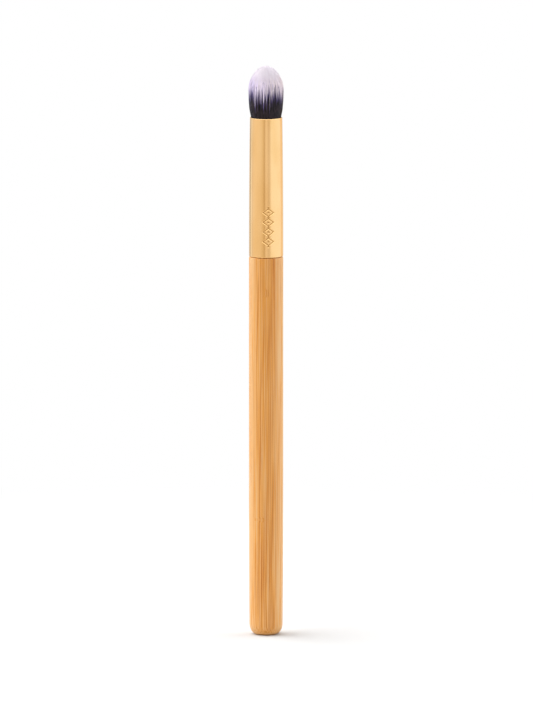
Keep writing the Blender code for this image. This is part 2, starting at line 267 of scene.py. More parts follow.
def stroke_distance(across, up):
    """Distance to the nearest stroke: a lozenge's outline, or a bead in or between the lozenges.

    across and up are measured from the foot of the ornament. A lozenge is where |x|/a + |y|/b = 1.
    """
    y = np.mod(up, LOZENGE_PITCH) - LOZENGE_PITCH / 2
    level = np.abs(across) / LOZENGE_HALF_WIDTH + np.abs(y) / LOZENGE_HALF_HEIGHT - 1
    to_outline = np.abs(level) / math.hypot(1 / LOZENGE_HALF_WIDTH, 1 / LOZENGE_HALF_HEIGHT)
    to_outline = np.where((up > 0) & (up < STAMP_HEIGHT), to_outline, FAR_AWAY)
    to_middle = np.hypot(across, y)
    to_joint = np.hypot(across, LOZENGE_PITCH / 2 - np.abs(y))
    on_column = (up > -STAMP_MARGIN) & (up < STAMP_HEIGHT + STAMP_MARGIN)
    to_bead = np.where(on_column, np.minimum(to_middle, to_joint) - BEAD_RADIUS, FAR_AWAY)
    return np.minimum(to_outline - STROKE_HALF_WIDTH, to_bead)


def stamp_depth(heights, angles):
    """Depth of the stamp at each height and angle: full inside a stroke, eased out over its edge."""
    across = (angles - STAMP_ANGLE + np.pi) % (2 * np.pi) - np.pi
    distance = stroke_distance(across * BASE_RADIUS, heights - STAMP_BOTTOM)
    share = np.clip(distance / STROKE_EDGE, 0, 1)
    return STROKE_DEPTH * (1 - share * share * (3 - 2 * share))


print(f"ornament {STAMP_HEIGHT / MM:.1f} mm high and {2 * LOZENGE_HALF_WIDTH / MM:.1f} mm wide")

# %% [markdown]
# The tube is a grid whose first parameter runs over the lip, down the outer side, round the base and
# up the bore again. Its rows and columns lie close together where the ornament is and wide apart
# elsewhere, so the strokes come out crisp without many thousands of points that show nothing.

# %% Lay out the ferrule's grid
WALL = 0.3 * MM
TAPER_POWER = 2.2
FINE_STEP = 0.06 * MM
COARSE_ANGLE = math.radians(3.0)
TOP_ROWS = 36
BASE_ROWS = 6
BASE_ROUND_STEPS = 4
BORE_STEPS = 12


def ferrule_radius(height):
    """Outer radius of the ferrule: from the base it narrows as a power of the share of its length."""
    share = np.clip((height - FERRULE_BASE) / (MOUTH - FERRULE_BASE), 0, 1)
    return BASE_RADIUS - (BASE_RADIUS - MOUTH_RADIUS) * share**TAPER_POWER


half_stamp = (LOZENGE_HALF_WIDTH + STAMP_MARGIN) / BASE_RADIUS
fine_angles = STAMP_ANGLE + np.arange(-half_stamp, half_stamp, FINE_STEP / BASE_RADIUS)
coarse_count = round((2 * np.pi - 2 * half_stamp) / COARSE_ANGLE)
coarse_angles = np.linspace(fine_angles[-1], fine_angles[0] + 2 * np.pi, coarse_count + 1)[1:-1]
ferrule_angles = np.concatenate([fine_angles, coarse_angles])

half_wall = WALL / 2
lip = MOUTH - half_wall
stamp_low = STAMP_BOTTOM - STAMP_MARGIN
stamp_high = STAMP_BOTTOM + STAMP_HEIGHT + STAMP_MARGIN
top_heights = np.linspace(lip, stamp_high, TOP_ROWS)[1:]
stamped_heights = np.arange(stamp_high, stamp_low, -FINE_STEP)[1:]
base_heights = np.linspace(stamp_low, FERRULE_BASE + half_wall, BASE_ROWS)[1:-1]
outer_heights = np.concatenate([top_heights, stamped_heights, base_heights])

mouth_round = arc(ferrule_radius(lip) - half_wall, lip, half_wall, 180, 0)
outer_side = np.stack([ferrule_radius(outer_heights), outer_heights], axis=1)
base_round = arc(BASE_RADIUS - half_wall, FERRULE_BASE + half_wall, half_wall, 0, -90, BASE_ROUND_STEPS)
bore_end = [(BASE_RADIUS - WALL, FERRULE_BASE)]
bore = run(lambda height: ferrule_radius(height) - WALL, FERRULE_BASE, lip, BORE_STEPS)
ferrule_outline = np.vstack([mouth_round, outer_side, base_round, bore_end, bore])
print(f"ferrule's grid: {len(ferrule_outline)} rows of {len(ferrule_angles)} points")

# %% [markdown]
# To press the ornament in, each point of the outer side moves inwards by the stamp's depth there.
# The share of the full depth is stored on each point too, because the tool leaves its strokes duller
# than the tube, and the material reads that. It also darkens the strokes by that share, as painted
# shade in the pressed lines.

# %% Press the ornament into the ferrule
def store(piece, name, values):
    """Keeps a number on every point of a piece, for its material to read by name."""
    layer = piece.data.attributes.new(name, "FLOAT", "POINT")
    layer.data.foreach_set("value", values.ravel().astype(np.float32))


depth = stamp_depth(outer_side[:, 1:], ferrule_angles)
inwards = np.stack([-np.sin(ferrule_angles), np.cos(ferrule_angles), 0 * ferrule_angles], axis=-1)
on_outside = slice(len(mouth_round), len(mouth_round) + len(outer_side))
ferrule_points = spun(ferrule_outline, ferrule_angles)
ferrule_points[on_outside] += depth[..., None] * inwards
stroke_share = np.zeros(ferrule_points.shape[:2])
stroke_share[on_outside] = depth / STROKE_DEPTH
ferrule_faces = grid_quads(len(ferrule_outline), len(ferrule_angles), tube=True).tolist()
ferrule = new_piece("ferrule_fine", ferrule_points, ferrule_faces)
store(ferrule, "stamped", stroke_share)
close_poles(ferrule)
print(f"deepest stroke {depth.max() / MM:.3f} mm")

# %% [markdown]
# ## The tuft
#
# The tuft is thousands of thin nylon filaments. They stand side by side in the mouth, swell to a
# belly, and curl in to a dome. Each is dyed near black at its root and left pale at its tip, and
# the colour changes at a slightly different height on each, which gives the ragged line between.
#
# Hair particles could stand for them, but the export takes only meshes. Here every filament is a
# real three-sided rod. The seeds of a sunflower show how to lay them out: turned by the golden
# angle from one to the next, they fill a disc evenly. Real filaments also cling together in locks,
# so each one leans towards the middle of its lock as it rises.

# %% Lay out the filaments
FILAMENTS = 12000
LOCKS = 4000
PLACE_JITTER = 0.003
LOCK_JITTER = 0.010
LOCK_PULL = 0.12
TIP_LEAN = 0.003
GOLDEN_ANGLE = math.pi * (3 - math.sqrt(5))
BELLY_RADIUS = 5.17 * MM
FILAMENT_PACKING = 0.8
FILAMENT_RADIUS = FILAMENT_PACKING * BELLY_RADIUS * math.sqrt(math.pi / FILAMENTS)
RANDOM_SEED = 5
dice = np.random.default_rng(RANDOM_SEED)


def sunflower(count):
    """Places that fill a disc of radius 1 evenly: each is the square root of its share of the count
    out from the middle, and a golden angle on from the one before."""
    seed = np.arange(count) + 0.5
    way = np.stack([np.cos(seed * GOLDEN_ANGLE), np.sin(seed * GOLDEN_ANGLE)], axis=1)
    return np.sqrt(seed / count)[:, None] * way


places = sunflower(FILAMENTS) + dice.normal(0, PLACE_JITTER, (FILAMENTS, 2))
lock_places = sunflower(LOCKS) + dice.normal(0, LOCK_JITTER, (LOCKS, 2))
lock_of = np.argmin(np.linalg.norm(places[:, None] - lock_places, axis=2), axis=1)
lean = LOCK_PULL * (lock_places[lock_of] - places)
lean += dice.normal(0, TIP_LEAN, (FILAMENTS, 2))
print(f"{FILAMENTS} filaments {2 * FILAMENT_RADIUS / MM:.3f} mm thick, in {LOCKS} locks")

# %% [markdown]
# No two filaments are alike. Those near the edge are worn a little shorter, in some locks the dye
# ends lower than in others, and each lock has its own shade. Towards the right the shade turns
# warmer and paler; the paler side is painted light, as that side of the dome is lit more brightly.
# All of this could be noise in the material, but a number for each filament follows it from root
# to tip, as the dye does.

# %% Make each filament a little different
LENGTH_SPREAD = 0.06 * MM
EDGE_SHORTENING = 2.8 * MM
EDGE_POWER = 5
COLOUR_LINE = 8.0 * MM
LOCK_LINE_SPREAD = 0.15 * MM
FILAMENT_LINE_SPREAD = 1.0 * MM
RUN_SHARE = 0.45
RUN_LENGTH = 3.4 * MM
LOCK_SHADE = 0.5
FILAMENT_SHADE = 0.3
# Painted light: how far the shade leans to the paler, warmer lilac towards the brighter right side
RIGHT_SIDE_PAINTED_LIGHT = 0.7

edge_share = np.minimum(np.linalg.norm(places, axis=1), 1)
length_change = dice.normal(-2 * LENGTH_SPREAD, LENGTH_SPREAD, FILAMENTS)
length_change -= EDGE_SHORTENING * edge_share**EDGE_POWER * dice.random(FILAMENTS)
line_height = COLOUR_LINE + dice.normal(0, LOCK_LINE_SPREAD, LOCKS)
line_height -= np.where(dice.random(LOCKS) < RUN_SHARE, RUN_LENGTH * dice.random(LOCKS), 0)
line_height = line_height[lock_of] + dice.normal(0, FILAMENT_LINE_SPREAD, FILAMENTS)
shade = LOCK_SHADE * dice.uniform(-1, 1, LOCKS)[lock_of]
shade += FILAMENT_SHADE * dice.uniform(-1, 1, FILAMENTS)
# Painted light: the right side of the tuft is made paler and warmer
shade += RIGHT_SIDE_PAINTED_LIGHT * places[:, 0]
line_mean, line_spread = line_height.mean() / MM, line_height.std() / MM
print(f"the dye ends {line_mean:.1f} mm above the mouth, with a spread of {line_spread:.1f} mm")

# %% [markdown]
# Along a filament, height is the first parameter, and the way round its three sides the second. Up
# to the belly a filament keeps its share of the tuft's radius. Above, it follows an ellipse inwards
# until it ends on the dome. A filament near the edge curls most, and one on the axis stays straight.

# %% Shape the tuft
BELLY_HEIGHT = 7.9 * MM
DOME_HEIGHT = TUFT_TOP - MOUTH - BELLY_HEIGHT
SWELL_POWER = 0.6
ROOT_COVER = 0.6 * MM
ROOT_HEIGHT = TUFT_ROOT + ROOT_COVER - MOUTH
THREAD_HEIGHT = -8.0 * MM
WAIST_RADIUS = 3.55 * MM
MOUTH_PLAY = 0.1 * MM
MOUTH_TUFT_RADIUS = MOUTH_RADIUS - WALL - MOUTH_PLAY
TIP_CURL = 0.14
TIP_THICKNESS = 0.4
TIP_SHARPNESS = 8
LEAN_POWER = 1.2


def tuft_radius(height):
    """The tuft's outline at a height above the mouth.

    It is a cone down in the ferrule, and above the mouth a power of a quarter sine to the belly.
    """
    cone = MOUTH_TUFT_RADIUS + (WAIST_RADIUS - MOUTH_TUFT_RADIUS) * height / THREAD_HEIGHT
    quarter = np.clip(height / BELLY_HEIGHT, 0, 1) * np.pi / 2
    swell = MOUTH_TUFT_RADIUS + (BELLY_RADIUS - MOUTH_TUFT_RADIUS) * np.sin(quarter) ** SWELL_POWER
    return np.where(height < 0, np.maximum(cone, WAIST_RADIUS), swell)


def filament_centres(chosen, below, above):
    """Points along the chosen filaments, at heights up to the belly and then at shares of the curl.

    At the end of its curl a filament that stands at share s of the radius lies on the dome at share
    t = s (1 - c s^2), at a height of the square root of 1 - t^2. On the way, its radius follows the
    ellipse that joins the belly to that point.
    """
    share = edge_share[chosen][:, None]
    tip = share * (1 - TIP_CURL * share**2)
    reach = np.sqrt(1 - tip**2)
    curl = (1 - (tip / share) ** 2) / reach**2
    along = np.array(above) * (1 + length_change[chosen][:, None] / (DOME_HEIGHT * reach))
    low_heights = np.array(below) + 0 * share
    high_heights = BELLY_HEIGHT + DOME_HEIGHT * reach * along
    heights = np.concatenate([low_heights, high_heights], axis=1)
    low_radius = tuft_radius(low_heights)
    high_radius = BELLY_RADIUS * np.sqrt(np.maximum(1 - curl * (along * reach) ** 2, 0))
    scale = np.concatenate([low_radius, high_radius], axis=1)
    rise = np.clip(heights / (BELLY_HEIGHT + DOME_HEIGHT), 0, 1) ** LEAN_POWER
    flat = places[chosen][:, None] + rise[..., None] * lean[chosen][:, None]
    centres = np.concatenate([flat * scale[..., None], MOUTH + heights[..., None]], axis=2)
    taper = 1 - (1 - TIP_THICKNESS) * np.array(above) ** TIP_SHARPNESS + 0 * share
    thickness = np.concatenate([low_radius / BELLY_RADIUS, taper], axis=1)
    return centres, FILAMENT_RADIUS * thickness


print(f"tuft {2 * MOUTH_TUFT_RADIUS / MM:.2f} mm wide in the mouth and {2 * BELLY_RADIUS / MM:.2f} mm above")

# %% [markdown]
# Rods turned at random, each far thinner than a pixel, would sparkle. So each turns one flat side
# outwards, and together they catch the light as one soft surface, as thousands of round ones do.
# The filaments are drawn as three pieces, a core, a middle and a skin. The core shows only where it
# ends on the dome, so it has fewer points along its sides.

# %% Draw the filaments as rods
SIDES = 3
ROOT_STATIONS = (ROOT_HEIGHT, THREAD_HEIGHT, 0)
FLARE_SHARES = (0.3, 0.65, 1)
FLARE_STATIONS = tuple(share * BELLY_HEIGHT for share in FLARE_SHARES)
# Each layer's name, the shares of the radius it lies between, its heights up to the belly above the
# mouth, and its shares of the curl
LAYERS = (
    ("tuft_core", 0, 0.65, (BELLY_HEIGHT,), (0.55, 0.94, 1)),
    ("tuft_middle", 0.65, 0.86, FLARE_STATIONS, (0.4, 0.92, 1)),
    ("tuft_skin", 0.86, math.inf, FLARE_STATIONS, (0.3, 0.6, 0.92, 1)),
)


def rod_points(centres, radius):
    """Points round the centre lines: centre + radius * (cos a * side + sin a * inward) for each angle a.

    side lies level and square to the way from the axis, and inward is square to it and to the rod.
    The first angle puts a corner inwards, so the side across from it faces out.
    """
    tangent = np.gradient(centres, axis=1)
    tangent /= np.linalg.norm(tangent, axis=2, keepdims=True)
    outward = centres[:, -1, :2] / np.linalg.norm(centres[:, -1, :2], axis=1, keepdims=True)
    level = np.stack([-outward[:, 1], outward[:, 0], 0 * outward[:, 0]], axis=1)[:, None]
    side = level - tangent * (tangent * level).sum(axis=2, keepdims=True)
    side /= np.linalg.norm(side, axis=2, keepdims=True)
    inward = np.cross(tangent, side)
    angle = np.pi / 2 + np.arange(SIDES)[:, None] * 2 * np.pi / SIDES
    ring = np.cos(angle) * side[:, :, None] + np.sin(angle) * inward[:, :, None]
    return centres[:, :, None] + radius[..., None, None] * ring


def rods(name, chosen, below, above):
    """One piece of many rods: each has quads along its sides and a flat end at its root and its tip."""
    centres, radius = filament_centres(chosen, below, above)
    count, stations = radius.shape
    first = np.arange(count)[:, None] * stations * SIDES
    walls = (grid_quads(stations, SIDES)[:, ::-1].ravel() + first).reshape(-1, 4)
    roots = (np.arange(SIDES)[::-1] + first).reshape(-1, SIDES)
    tips = (np.arange(SIDES) + (stations - 1) * SIDES + first).reshape(-1, SIDES)
    faces = walls.tolist() + roots.tolist() + tips.tolist()
    piece = new_piece(name, rod_points(centres, radius), faces)
    piece.data.shade_flat()
    store(piece, "colour_line", np.repeat(line_height[chosen] / MM, stations * SIDES))
    store(piece, "shade", np.repeat(shade[chosen], stations * SIDES))
    return piece


tuft = []
for name, low, high, below, above in LAYERS:
    layer = np.flatnonzero((edge_share >= low) & (edge_share < high))
    tuft.append(rods(name, layer, ROOT_STATIONS + below, above))
    print(f"{name}: {len(layer)} filaments, {len(tuft[-1].data.loop_triangles)} triangles")

# %% [markdown]
# The roots are cast in a thin slice of amber resin before the tuft is set in the ferrule. It can't
# be seen, but it is what makes the filaments one piece, so it is there too.

# %% Cast the roots
ROOT_SLICE = 1.2 * MM
SLICE_ROUND = 0.2 * MM
slice_radius = radius_between("bristle_tuft", TUFT_ROOT - TOUCH, TUFT_ROOT + ROOT_SLICE + TOUCH)
slice_top = TUFT_ROOT + ROOT_SLICE
upper_round = arc(slice_radius - SLICE_ROUND, slice_top - SLICE_ROUND, SLICE_ROUND, 90, 0)
lower_round = arc(slice_radius - SLICE_ROUND, TUFT_ROOT + SLICE_ROUND, SLICE_ROUND, 0, -90)
root_outline = np.vstack([[(0, slice_top)], upper_round, lower_round, [(0, TUFT_ROOT)]])
root = turned("tuft_root", root_outline, round_angles)

# %% [markdown]
# ## Finishes as arithmetic
#
# A material's nodes are easier to read as formulas. A Wire holds one output of a node. Adding,
# multiplying or dividing wires adds the Math nodes for it, and one method adds a node of any other
# kind. Colours are mixed by Mix nodes, because a Math node would turn them grey.

# %% Helper for shader formulas
def rgba(colour):
    """A colour with its alpha, or the wire that carries one."""
    return colour if isinstance(colour, Wire) else (*colour, 1)


class Wire:
    """One output of a shader node, on which arithmetic can be done."""

    def __init__(self, tree, socket):
        self.tree = tree
        self.socket = socket

    def node(self, kind, settings, sockets):
        """Adds a node: its settings or its ramp's stops first, then its sockets' values or links."""
        made = self.tree.nodes.new(kind)
        for name, value in settings.items():
            if name != "stops":
                setattr(made, name, value)
                continue
            while len(made.color_ramp.elements) < len(value):
                made.color_ramp.elements.new(1)
            for stop, (position, colour) in zip(made.color_ramp.elements, value):
                stop.position = position
                stop.color = (*colour, 1)
        usable = [socket for socket in made.inputs if socket.enabled]
        named = {socket.name: socket for socket in reversed(usable)}
        for name, value in sockets.items():
            socket = usable[name] if isinstance(name, int) else named[name]
            if isinstance(value, Wire):
                self.tree.links.new(value.socket, socket)
            else:
                socket.default_value = value
        return Wire(self.tree, next((s for s in made.outputs if s.enabled), None))

    def other(self, name):
        """Another output of the node that this wire comes from."""
        return Wire(self.tree, self.socket.node.outputs[name])

    def math(self, operation, first, second):
        """A Math node of the operation on two values."""
        return self.node("ShaderNodeMath", {"operation": operation}, {0: first, 1: second})

    def __add__(self, value):
        return self.math("ADD", self, value)

    def __sub__(self, value):
        return self.math("SUBTRACT", self, value)

    def __rsub__(self, value):
        return self.math("SUBTRACT", value, self)

    def __mul__(self, value):
        return self.math("MULTIPLY", self, value)

    def __truediv__(self, value):
        return self.math("DIVIDE", self, value)

    def __abs__(self):
        return self.node("ShaderNodeMath", {"operation": "ABSOLUTE"}, {0: self})

    __radd__ = __add__
    __rmul__ = __mul__

    def root(self):
        """The square root of this value."""
        return self.node("ShaderNodeMath", {"operation": "SQRT"}, {0: self})

    def step(self, low, high):
        """Eases from 0 to 1 as this value goes from low to high."""
        sockets = {"Value": self, "From Min": low, "From Max": high}
        return self.node("ShaderNodeMapRange", {"interpolation_type": "SMOOTHSTEP"}, sockets)

    def stretch(self, x, y, z):
        """This vector with each part multiplied by a number."""
        return self.node("ShaderNodeVectorMath", {"operation": "MULTIPLY"}, {0: self, 1: (x, y, z)})

    def noise(self, scale=1.0, detail=2.0, roughness=0.5):
        """Soft noise from 0 to 1 at this place."""
        sockets = {"Vector": self, "Scale": scale, "Detail": detail, "Roughness": roughness}
        return self.node("ShaderNodeTexNoise", {}, sockets)

    def cells(self, scale=1.0):
        """Distance to the nearest of many scattered points, so cells that are 0 in their middles."""
        return self.node("ShaderNodeTexVoronoi", {"feature": "F1"}, {"Vector": self, "Scale": scale})

    def blend(self, first, second):
        """The first colour where this value is 0, the second where it is 1."""
        settings = {"data_type": "RGBA", "clamp_factor": True}
        return self.node("ShaderNodeMix", settings, {0: self, 1: rgba(first), 2: rgba(second)})

    def ramp(self, stops):
        """A colour for each value, eased between the stops."""
        return self.node("ShaderNodeValToRGB", {"stops": stops}, {"Fac": self})


# %% Helpers for materials
def new_finish(name):
    """A material with its Principled shader, and the wire of a point's place in millimetres."""
    material = bpy.data.materials.new(name)
    material.use_nodes = True
    tree = material.node_tree
    metres = Wire(tree, tree.nodes.new("ShaderNodeTexCoord").outputs["Object"])
    place = metres.node("ShaderNodeVectorMath", {"operation": "SCALE"}, {0: metres, "Scale": 1 / MM})
    return material, place


def set_shader(material, **sockets):
    """Sets the Principled shader's sockets, by names such as base_color, to values or wires."""
    nodes = material.node_tree.nodes
    for name, value in sockets.items():
        words = [word.upper() if word == "ior" else word.title() for word in name.split("_")]
        socket = nodes["Principled BSDF"].inputs[" ".join(words)]
        if isinstance(value, Wire):
            material.node_tree.links.new(value.socket, socket)
        else:
            socket.default_value = value
    print(f"{material.name}: {len(nodes)} nodes")


def bump(height, distance):
    """A Bump node for a height from 0 to 1 that stands for the distance in metres."""
    return height.node("ShaderNodeBump", {}, {"Height": height, "Distance": distance, "Strength": 1.0})


def stored(place, name):
    """The number that store() kept on the points of the piece under a name."""
    return place.node("ShaderNodeAttribute", {"attribute_name": name}, {}).other("Fac")


# %% [markdown]
# ## Bamboo
#
# Bamboo has no growth rings. Its wood is pale, and thin brown strands run straight up through it,
# the bundles that carried its water. A turned rod cuts along them, so they show as fine lines. They
# are denser towards the skin of the cane, so the side of the rod that was nearest to it, here its
# front, is browner. That browner front is also painted shade: the front is made darker than the
# sides, as less light falls on it. Two small scars push the grain aside.
#
# The pattern is solid: it is worked out in the whole rod, and the surface shows where it is cut.
# Voronoi cells that are stretched along the cane are the bundles, and stretched noise gives the
# streaks between them. A bundle is oval, deeper than it is wide, so both are stretched a little
# towards the skin too. A thin coat of lacquer lies over it all.

# %% Bamboo's colours and grain
PALE_BAMBOO = (0.765, 0.445, 0.185)
ORANGE_BAMBOO = (0.775, 0.322, 0.042)
BROWN_BAMBOO = (0.50, 0.15, 0.012)
BAMBOO_TONES = ((0.1, BROWN_BAMBOO), (0.5, ORANGE_BAMBOO), (0.9, PALE_BAMBOO))
# How often each pattern repeats in a millimetre to the right, to the back and upwards
SWAY_GRAIN = (0.08, 0.08, 0.012)
COARSE_GRAIN = (2.2, 1.3, 0.02)
FINE_GRAIN = (8.0, 2.4, 0.03)
BUNDLE_GRAIN = (2.0, 1.0, 0.02)
GRAIN_ROUGHNESS = 0.6
SWAY_WIDTH = 0.9
BUNDLE_EDGE = (0.05, 0.30)
# Painted shade: from these depths in front of the axis the bamboo turns browner, for the less lit front
FRONT_SHADE_DEPTHS = (3.4, 4.7)
FRONT_SHADE_WAVE = 1.5
print(f"bamboo browner from {FRONT_SHADE_DEPTHS[0]} to {FRONT_SHADE_DEPTHS[1]} mm in front of the axis")

# %% Scars in the bamboo
# Each scar's place to the right and its height, then half its width and half its height, in millimetres
SCARS = ((0.1, 103.0, 0.5, 0.9), (-1.9, 35.0, 1.3, 0.45))
SCAR_DEPTHS = (-4, -3)
SCAR_REACH = (0.4, 2.2)
SCAR_RIM = 0.5
SCAR_PUSH = 0.04


def scar_marks(across, depth, height):
    """How far scars push the grain aside and where their rims are, from 0 to 1.

    An oval is the root of (x/a)^2 + (z/b)^2, which is 1 on the rim. Both fade out behind the front.
    """
    front = 1 - depth.step(*SCAR_DEPTHS)
    aside = 0
    rim = 0
    for middle, level, half_width, half_height in SCARS:
        x = (across - middle) * (1 / half_width)
        z = (height - level) * (1 / half_height)
        oval = (x * x + z * z).root()
        aside = aside + (1 - oval.step(*SCAR_REACH)) * front
        rim = rim + (1 - abs(oval - 1).step(0, SCAR_RIM)) * front
    return aside, rim


print(f"{len(SCARS)} scars, at heights of", " and ".join(f"{scar[1]} mm" for scar in SCARS))

# %% Bamboo finish
PLAIN_TONE = 0.805
DENSE_FRONT_SHADE = 0.30
LINE_DARKENING = 0.22
DENSE_FRONT_LINE_SHADE = 0.12
RIM_DARKENING = 0.08
COARSE_CONTRAST = 0.5
FINE_CONTRAST = 3.2
FIBRE_RELIEF = 0.008 * MM
LINE_SHARE_OF_RELIEF = 0.4
LACQUER_ROUGHNESS = 0.42
FIBRE_ROUGHNESS = 0.15


def bamboo_finish():
    """Lacquered bamboo: bundles, denser towards the cane's skin, painted shade that browns the front, streaks
    between them and two scars.
    """
    material, place = new_finish("lacquered_bamboo")
    split = place.node("ShaderNodeSeparateXYZ", {}, {"Vector": place})
    across, depth, height = split, split.other("Y"), split.other("Z")
    aside, rim = scar_marks(across, depth, height)
    sway = place.stretch(*SWAY_GRAIN).noise().other("Color").stretch(SWAY_WIDTH, SWAY_WIDTH, 0)
    swayed = place.node("ShaderNodeVectorMath", {"operation": "ADD"}, {0: place, 1: sway})
    coarse = swayed.stretch(*COARSE_GRAIN).noise(roughness=GRAIN_ROUGHNESS)
    fine = swayed.stretch(*FINE_GRAIN).noise(1.0 + aside * SCAR_PUSH, roughness=GRAIN_ROUGHNESS)
    line = 1 - swayed.stretch(*BUNDLE_GRAIN).cells().step(*BUNDLE_EDGE)
    # Painted shade, partly denser bundles: the front of the rod is made browner than its sides
    dense_front_shade = ((coarse - 0.5) * FRONT_SHADE_WAVE - depth).step(*FRONT_SHADE_DEPTHS)
    tone = PLAIN_TONE - dense_front_shade * DENSE_FRONT_SHADE - rim * RIM_DARKENING
    tone = tone - line * (LINE_DARKENING + dense_front_shade * DENSE_FRONT_LINE_SHADE)
    tone = tone + (coarse - 0.5) * COARSE_CONTRAST + (fine - 0.5) * FINE_CONTRAST
    set_shader(
        material,
        base_color=tone.ramp(BAMBOO_TONES),
        roughness=LACQUER_ROUGHNESS + (fine - 0.5) * FIBRE_ROUGHNESS,
        specular_ior_level=0.3,
        coat_weight=0.3,
        coat_roughness=0.2,
        normal=bump(fine - line * LINE_SHARE_OF_RELIEF, FIBRE_RELIEF),
    )
    return material


handle.data.materials.append(bamboo_finish())

# %% [markdown]
# ## Gold-coloured aluminium
#
# The ferrule is anodised aluminium: a clear, dyed layer over bright metal. It mirrors the studio,
# softly, because drawing the tube through a die leaves faint lines along it. So the roughness varies
# in streaks that run the length of the tube, and the dye is a touch uneven.

# %% Anodised finish
GOLD = (0.95, 0.585, 0.25)
DEEP_GOLD = (0.90, 0.53, 0.205)
# Painted shade: the pressed strokes are darkened towards their full depth
SHADED_STROKE_GOLD = (0.58, 0.31, 0.10)
DIE_LINES = (5.0, 5.0, 0.04)
DIE_LINE_RELIEF = 0.0006 * MM
DYE_PATCHES = (0.25, 0.25, 0.08)
DYE_EDGE = (0.3, 0.7)
TUBE_ROUGHNESS = 0.10
DIE_LINE_ROUGHNESS = 0.12
STAMP_ROUGHNESS = 0.15


def gold_finish():
    """Anodised, drawn aluminium: faint die lines, a dye that is a touch uneven, and a duller stamp darkened with
    painted shade.
    """
    material, place = new_finish("gold_anodised_aluminium")
    lines = place.stretch(*DIE_LINES).noise(detail=3.0, roughness=0.6)
    dye = place.stretch(*DYE_PATCHES).noise(detail=1.0)
    stamped = stored(place, "stamped")
    set_shader(
        material,
        base_color=stamped.blend(dye.step(*DYE_EDGE).blend(GOLD, DEEP_GOLD), SHADED_STROKE_GOLD),
        metallic=1.0,
        roughness=TUBE_ROUGHNESS + lines * DIE_LINE_ROUGHNESS + stamped * STAMP_ROUGHNESS,
        normal=bump(lines, DIE_LINE_RELIEF),
    )
    return material


ferrule.data.materials.append(gold_finish())

# %% [markdown]
# ## Two-tone filament
#
# The colour of a filament depends above all on how far the point is above the height where that
# filament's dye ends. The height was stored on each rod, so the shader only has to subtract. Noise
# that is stretched along the tuft moves the line up and down and thins the dye in streaks. The pale
# ends are a lilac that varies from lock to lock and turns paler and warmer towards the right, the
# paler side as painted light. Near the tips it is nearly white, partly as painted light on the top
# of the dome.

# %% Filament finish
DYED = (0.003, 0.0015, 0.002)
WORN_DYE = (0.032, 0.019, 0.023)
VIOLET = (0.105, 0.076, 0.21)
LILAC = (0.77, 0.67, 0.90)
# Paler and warmer lilac: lock-to-lock tone, and painted light on the right side
WARM_LILAC = (0.92, 0.81, 0.78)
# Nearly white tips: partly the filaments' own pale ends, partly painted light on the top of the dome
PALE_TIP_AND_TOP_LIGHT = (0.97, 0.92, 0.97)
# Where one colour gives way to the next, in millimetres above the line or, for the tip, the mouth
VIOLET_FADE = (-2.6, -0.4)
LILAC_FADE = (-1.0, 2.0)
TIP_FADE = (9.2, 14.0)
STREAK_GRAIN = (4.5, 4.5, 0.3)
STREAK_HEIGHT = 4.5
WORN_STREAKS = (0.35, 0.65)
NYLON_ROUGHNESS = 0.42
SHADE_ROUGHNESS = 0.06


def filament_finish():
    """Nylon, dyed near black below each filament's own line and lilac above it."""
    material, place = new_finish("two_tone_filament")
    height = place.node("ShaderNodeSeparateXYZ", {}, {"Vector": place}).other("Z")
    line = stored(place, "colour_line")
    tint = stored(place, "shade")
    above_mouth = height - MOUTH / MM
    streak = place.stretch(*STREAK_GRAIN).noise(roughness=0.6)
    above_line = above_mouth - line + (streak - 0.5) * STREAK_HEIGHT
    dyed = streak.step(*WORN_STREAKS).blend(DYED, WORN_DYE)
    dark = above_line.step(*VIOLET_FADE).blend(dyed, VIOLET)
    lilac = (tint * 0.5 + 0.5).blend(LILAC, WARM_LILAC)
    pale = above_mouth.step(*TIP_FADE).blend(lilac, PALE_TIP_AND_TOP_LIGHT)
    set_shader(
        material,
        base_color=above_line.step(*LILAC_FADE).blend(dark, pale),
        roughness=NYLON_ROUGHNESS + tint * SHADE_ROUGHNESS,
        specular_ior_level=0.2,
    )
    return material


filament = filament_finish()
for piece in tuft:
    piece.data.materials.append(filament)

# %% [markdown]
# ## What the ferrule hides
#
# Resin, thread and glue never show, but they are pieces all the same, and someone may take the brush
# apart. Each gets a finish of its own: cloudy amber resin with small bubbles, cotton with its twist,
# and cream glue that has yellowed in patches. Their shapes stay as the construction has them.

# %% Resin
AMBER = (0.55, 0.40, 0.16)
DARK_AMBER = (0.30, 0.19, 0.07)
BUBBLE_SCALE = 2.2
BUBBLE_EDGE = (0.05, 0.14)
RESIN_RELIEF = 0.05 * MM


def resin_finish():
    """Cured resin: cloudy, with small bubbles."""
    material, place = new_finish("amber_resin")
    cloud = place.noise(0.7, detail=3.0)
    bubbles = 1 - place.cells(BUBBLE_SCALE).step(*BUBBLE_EDGE)
    set_shader(
        material,
        base_color=(cloud - bubbles * 0.3).step(0.3, 0.7).blend(DARK_AMBER, AMBER),
        roughness=0.18 + bubbles * 0.3,
        normal=bump(cloud, RESIN_RELIEF),
    )
    return material


resin = resin_finish()
root.data.materials.append(resin)

# %% Thread
COTTON = (0.74, 0.72, 0.65)
SHADED_COTTON = (0.48, 0.45, 0.38)
PLY_RELIEF = 0.03 * MM


def cotton_finish():
    """Twisted cotton: slanting plies across the thread."""
    material, place = new_finish("twisted_cotton")
    settings = {"wave_type": "BANDS", "bands_direction": "DIAGONAL"}
    sockets = {"Vector": place, "Scale": 3.0, "Distortion": 1.5, "Detail": 2.0}
    plies = place.node("ShaderNodeTexWave", settings, sockets)
    set_shader(
        material,
        base_color=plies.blend(SHADED_COTTON, COTTON),
        roughness=0.85,
        normal=bump(plies, PLY_RELIEF),
    )
    return material


